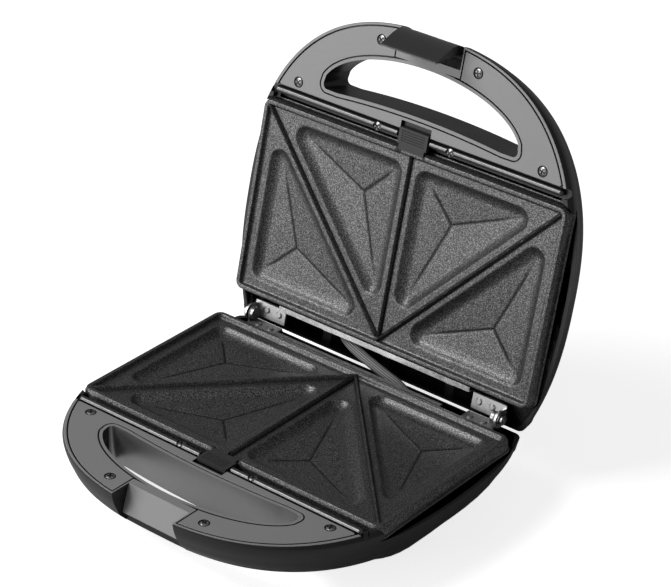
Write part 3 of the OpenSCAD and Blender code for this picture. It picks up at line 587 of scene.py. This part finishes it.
# Handle trims. A pressed plate in satin grey metal paint lies flush in each handle's face, with a
# thin black gap around it, held by four cross-head screws.
def handle_trim(name):
    plan = outline(half_w - 2.9, -reach + 3.2, rear_y - 5)
    trim = prism(name, plan, face_z - 1.98, face_z)
    trim = combine(trim, [block("keep", (-far, -far, -10), (far, -12.7, 10))], "INTERSECT")
    cutters = [prism("hole", finger_plan(0.45), -20, 10),
               block("notch", (-24.2, -far, -20), (24.2, -reach + 21.6, 20)),
               block("bay", (-clip_bay_half, clip_bay_front, -20), (clip_bay_half, 10, 20))]
    for sign in (-1, 1):
        corner = [(sign * 102.6, -12.7), (sign * 106.2, -9.2), (sign * 109.8, -12.7), (sign * 106.2, -16.2)]
        cutters.append(prism("corner", corner, -20, 20))
        for x, y in trim_screws:
            cutters.append(prism("screw_seat", circle(sign * x, y, 3.35), face_z - 0.9, 10))
    return combine(trim, cutters)


def seat_shade(centre, normal):
    """The sunk seats of the screws and the edges of the plate are painted black as shade."""
    return centre.z < face_z - 0.3


for name, matrix, body in (("base_trim_plate", to_base, "base"), ("lid_trim_plate", to_lid, "lid")):
    finish_piece(handle_trim(name), satin, matrix, body, body + "_handle_trim", bevel=0.25, slot="trim",
                 faced=(black, seat_shade))

# Screws. Cross-head screws hold each trim plate and rail. Their small dark zinc pan heads with a
# crossed recess are set on the points of a mesh by one node tree, each turned its own way.
zinc = Finish("zinc_screws", Metallic=1.0, Roughness=0.35)
zinc.set(Base_Color=zinc.mix(zinc.noise(900, 2), grey(0.24), grey(0.4)))


def screw_tree():
    tree = bpy.data.node_groups.new("cross_head_screws", "GeometryNodeTree")
    tree.interface.new_socket("Points", in_out="INPUT", socket_type="NodeSocketGeometry")
    for label in ("Head radius", "Head height"):
        tree.interface.new_socket(label, in_out="INPUT", socket_type="NodeSocketFloat")
    tree.interface.new_socket("Heads", in_out="OUTPUT", socket_type="NodeSocketGeometry")

    def add(kind, inputs, **settings):
        made = tree.nodes.new(kind)
        for key, value in settings.items():
            setattr(made, key, value)
        for key, value in inputs.items():
            if hasattr(value, "is_output"):
                tree.links.new(value, made.inputs[key])
            else:
                made.inputs[key].default_value = value
        return made

    def maths(operation, a, b):
        return add("ShaderNodeMath", {0: a, 1: b}, operation=operation).outputs[0]

    given = add("NodeGroupInput", {}).outputs
    radius, height = given["Head radius"], given["Head height"]
    edge = add("GeometryNodeMeshCylinder", {"Vertices": 32, "Radius": radius,
                                            "Depth": maths("MULTIPLY", height, 0.55)})
    crown = add("GeometryNodeMeshCone", {"Vertices": 32, "Radius Top": maths("MULTIPLY", radius, 0.62),
                                         "Radius Bottom": radius, "Depth": maths("MULTIPLY", height, 0.45)})
    lift = add("ShaderNodeCombineXYZ", {"Z": maths("MULTIPLY", height, 0.275)}).outputs[0]
    low = add("GeometryNodeTransform", {"Geometry": edge.outputs[0], "Translation": lift}).outputs[0]
    lift = add("ShaderNodeCombineXYZ", {"Z": maths("MULTIPLY", height, 0.55)}).outputs[0]
    high = add("GeometryNodeTransform", {"Geometry": crown.outputs[0], "Translation": lift}).outputs[0]
    slot_size = add("ShaderNodeCombineXYZ", {"X": maths("MULTIPLY", radius, 1.45),
                                             "Y": maths("MULTIPLY", radius, 0.4), "Z": height}).outputs[0]
    slot = add("GeometryNodeMeshCube", {"Size": slot_size}).outputs[0]
    top = add("ShaderNodeCombineXYZ", {"Z": maths("MULTIPLY", height, 1.02)}).outputs[0]
    one = add("GeometryNodeTransform", {"Geometry": slot, "Translation": top}).outputs[0]
    two = add("GeometryNodeTransform", {"Geometry": one, "Rotation": (0, 0, math.pi / 2)}).outputs[0]
    head = add("GeometryNodeMeshBoolean", {}, operation="UNION", solver="EXACT")
    tree.links.new(high, head.inputs[1])
    tree.links.new(low, head.inputs[1])
    cross = add("GeometryNodeMeshBoolean", {"Mesh 1": head.outputs[0]}, operation="DIFFERENCE",
                solver="EXACT")
    tree.links.new(two, cross.inputs[1])
    tree.links.new(one, cross.inputs[1])
    turned = add("FunctionNodeRandomValue", {0: (0.0, 0.0, 0.0), 1: (0.0, 0.0, math.pi), "Seed": 7},
                 data_type="FLOAT_VECTOR").outputs[0]
    placed = add("GeometryNodeInstanceOnPoints", {"Points": given["Points"], "Instance": cross.outputs[0],
                                                  "Rotation": turned}).outputs[0]
    real = add("GeometryNodeRealizeInstances", {"Geometry": placed}).outputs[0]
    done = add("GeometryNodeSetMaterial", {"Geometry": real, "Material": zinc.owner}).outputs[0]
    tree.links.new(done, add("NodeGroupOutput", {}).inputs[0])
    return tree


screw_heads = screw_tree()


def screw_set(name, places, radius, height, matrix, body, node):
    piece = mesh_object(name, places, [])
    tool = piece.modifiers.new("heads", "NODES")
    tool.node_group = screw_heads
    for item in screw_heads.interface.items_tree:
        if item.name in ("Head radius", "Head height"):
            tool[item.identifier] = radius if item.name == "Head radius" else height
    settle(piece)

    # The crossed recess of each head is painted black as shade.
    def recess_shade(centre, normal):
        near = min(math.hypot(centre.x - x, centre.y - y) for x, y, z in places)
        return near < 0.78 * radius and centre.z < places[0][2] + 0.98 * height

    finish_piece(piece, zinc, matrix, body, node, bevel=0, slot="screws", angle=40,
                 faced=(black, recess_shade))


trim_places = [(s * x, y, face_z - 0.9) for s in (-1, 1) for x, y in trim_screws]
rail_places = [(s * 26.8, -8.8, -2.1) for s in (-1, 1)]
for body, matrix in (("base", to_base), ("lid", to_lid)):
    screw_set(body + "_trim_screw_heads", trim_places, 2.6, 1.25, matrix, body, body + "_trim_screws")
    screw_set(body + "_rail_screw_heads", rail_places, 2.6, 1.6, matrix, body, body + "_rail_screws")

# Latch. A glossy black flap with a curved face hangs on a pin in the lid's well, with a cheek at
# each end, two knuckles around the pin and a small hook along its lower edge.
gloss = Finish("latch_gloss", Base_Color=grey(0.02), Coat_Weight=0.4, Coat_Roughness=0.3)
gloss.set(Roughness=0.26 + gloss.noise(90, 2) * 0.1)
face = [(5, 8), (3, 4.6), (1.9, 1.6), (1.5, -1), (1.7, -3.6), (2.6, -7), (4, -10.5), (5.7, -13.7),
        (7.5, -16.6), (9, -19), (9.7, -21.2)]
curve = [(f + row[1], row[2]) for row in smooth_levels([[0, y, z] for y, z in face], 4)]
inner = [(y + 1.84, z + 1.15) for y, z in curve[:-4]][::-1]
hook = [(f + 10.5, -21.4), (f + 10.5, -19.9), (f + 9.9, -19.6), (f + 9.4, -17.6)]
latch_half, knuckle_in, knuckle_out = 20.2, 4.6, 19.2
flap = notch_profile(curve + hook + inner, latch_half)
added = []
for sign in (-1, 1):
    knuckle = circle(f + 8, 12, 3.1, 24)
    web = [(4.9, 12.4), (8, 9.2), (7.4, 4), (5, 0), (3, 0), (3.4, 4.6), (4.6, 8)]
    cheek = [(4.8, 7.6), (8, 7.6), (7.2, 0), (8, -8), (9.4, -16), (8.2, -17), (5, -11.5), (2.6, -4), (2.6, 2)]
    for plan, low, high in ((knuckle, knuckle_in, knuckle_out),
                            ([(f + y, z) for y, z in web], knuckle_in, knuckle_out),
                            ([(f + y, z) for y, z in cheek], 18.6, latch_half)):
        lug = notch_profile(plan, (high - low) / 2)
        lug.data.transform(Matrix.Translation((sign * (low + high) / 2, 0, 0)))
        added.append(lug)
combine(flap, added, "UNION")
flap.name = "latch_flap"
finish_piece(flap, gloss, to_lid @ Matrix.Scale(-1, 4, (0, 0, 1)), "latch", "latch_clip", bevel=0.35,
             slot="latch", angle=30)

# Wire sleeve. A dark braided sleeve carries the wires of the upper element from the lid's hollow
# over the hinge line into the base. It is placed in the base's frame and tied to neither half.
braid = Finish("sleeve_braid", Roughness=0.6)
around = braid.node("UVMap", {"uv_map": "UVMap"})
axes = braid.node("SeparateXYZ", None, {0: around})
rib_count = 14
ribs = braid.node("Math", {"operation": "SINE"}, {0: axes * (2 * math.pi * rib_count)})
braid.set(Base_Color=braid.mix(ribs * 0.5 + 0.5, grey(0.03), grey(0.34)))
braid.bump(ribs, 0.0003, 0.6)
way = [(-32, 16.6, 0), (-29, 12, 1.4), (-13, 3.8, 1.4), (7, 0.4, -2.6), (26, -2.4, -6.5), (32, -3.4, -15),
       (33, -5.5, -24)]
path = [Vector(row[1:]) for row in smooth_levels([[0, *p] for p in way], 12)]
sleeve_r = 3.2
turns = 24
points = []
for i, spot in enumerate(path):
    ahead = (path[min(i + 1, len(path) - 1)] - path[max(i - 1, 0)]).normalized()
    u = ahead.cross(Vector((0, 1, 0))).normalized()
    v = ahead.cross(u)
    for j in range(turns):
        t = 2 * math.pi * j / turns
        points.append(Vector((0, axis_y, 0)) + spot + sleeve_r * (math.cos(t) * u + math.sin(t) * v))
faces = [(i * turns + j, i * turns + (j + 1) % turns, (i + 1) * turns + (j + 1) % turns, (i + 1) * turns + j)
         for i in range(len(path) - 1) for j in range(turns)]
sleeve = mesh_object("wire_sleeve_braid", points, faces + [tuple(range(turns))[::-1],
                                                           tuple(range(len(points) - turns, len(points)))])
layer = sleeve.data.uv_layers.new(name="UVMap")
for poly in sleeve.data.polygons:
    ring = [sleeve.data.loops[k].vertex_index % turns for k in poly.loop_indices]
    wrap = max(ring) - min(ring) > turns // 2 and len(ring) == 4
    for k, r in zip(poly.loop_indices, ring):
        layer.data[k].uv = ((r + turns if wrap and r == 0 else r) / turns,
                            sleeve.data.loops[k].vertex_index // turns / len(path))
work = bmesh.new()
work.from_mesh(sleeve.data)
bmesh.ops.recalc_face_normals(work, faces=work.faces)
work.to_mesh(sleeve.data)
work.free()
sleeve.data.materials.append(braid.owner)
sleeve.data.polygons.foreach_set("use_smooth", [True] * len(sleeve.data.polygons))
sleeve.data.transform(to_base)
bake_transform(sleeve)
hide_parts("wire_sleeve")

# Carried pieces. These keep the solids of the part and only get a finish: the lid's rear strip is
# polished, the front rails are steel in a dark grey that paints in the shade of their reflections,
# the base's leaves and strip are dull zinc, the lid's leaves and the trays are plain sheet, and the
# rest are ceramic, rubber, moulded and lens parts.
polished = Finish("bright_steel", Base_Color=grey(0.8), Metallic=1.0)
polished.set(Roughness=0.16 + polished.noise(400, 2) * 0.14)
sheet = Finish("sheet_steel", Metallic=1.0)
sheet.set(Base_Color=sheet.mix(sheet.noise(90, 3), grey(0.45), grey(0.66)),
          Roughness=0.26 + sheet.noise(300, 2) * 0.2)
oxide = Finish("element_tube", Metallic=0.8, Roughness=0.5)
oxide.set(Base_Color=oxide.mix(oxide.noise(200, 3), (0.12, 0.1, 0.09, 1), (0.2, 0.18, 0.16, 1)))
# The rails' dark grey is a painted shade standing in for their dark reflections.
rail_steel_shaded = Finish("rail_steel_shaded", Metallic=1.0)
rail_steel_shaded.set(Base_Color=rail_steel_shaded.mix(rail_steel_shaded.noise(300, 2), grey(0.08), grey(0.14)),
               Roughness=0.24 + rail_steel_shaded.noise(500, 2) * 0.16)
dull = Finish("dull_zinc", Metallic=0.7)
dull.set(Base_Color=dull.mix(dull.noise(700, 2), grey(0.1), grey(0.26)),
         Roughness=0.5 + dull.noise(300, 2) * 0.15)
ceramic = Finish("ceramic", Base_Color=(0.62, 0.59, 0.53, 1), Roughness=0.7)
ceramic.bump(ceramic.noise(800, 2), 0.0001, 0.5)
rubber = Finish("rubber", Base_Color=grey(0.018), Roughness=0.75)
rubber.bump(rubber.noise(900, 2), 0.0001, 0.5)
grip = Finish("clip_grip", Roughness=0.6)
grip.set(Base_Color=grip.mix(grip.noise(1600, 2), grey(0.008), grey(0.05)))
grip.bump(grip.noise(1600, 2), 0.0001, 0.6)
lens = Finish("lens_red", Base_Color=(0.55, 0.03, 0.02, 1), Roughness=0.15, Coat_Weight=0.6)
lens.bump(lens.noise(300, 1), 0.00005, 0.3)
carried = {
    polished: ("lid_rear_strip",),
    rail_steel_shaded: ("base_front_rail", "lid_front_rail"),
    dull: ("base_rear_strip", "base_hinge_leaves", "base_hinge_rivets"),
    sheet: ("lid_hinge_leaves", "lower_reflector", "upper_reflector", "lower_element_clips",
            "upper_element_clips", "thermal_fuse", "lid_hinge_rivets"),
    zinc: ("cover_screws", "hinge_pivots", "reflector_screws", "latch_pin", "latch_spring"),
    oxide: ("lower_heating_element", "upper_heating_element"),
    ceramic: ("thermostat", "terminal_block", "indicator_lamps"),
    rubber: ("base_feet", "cord_gland"),
    black: ("bottom_cover",),
    grip: ("lower_release_clip", "upper_release_clip"),
    lens: ("indicator_lenses",),
}
for finish, nodes in carried.items():
    for node in nodes:
        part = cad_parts[node]
        part.data.materials.clear()
        part.data.materials.append(finish.owner)
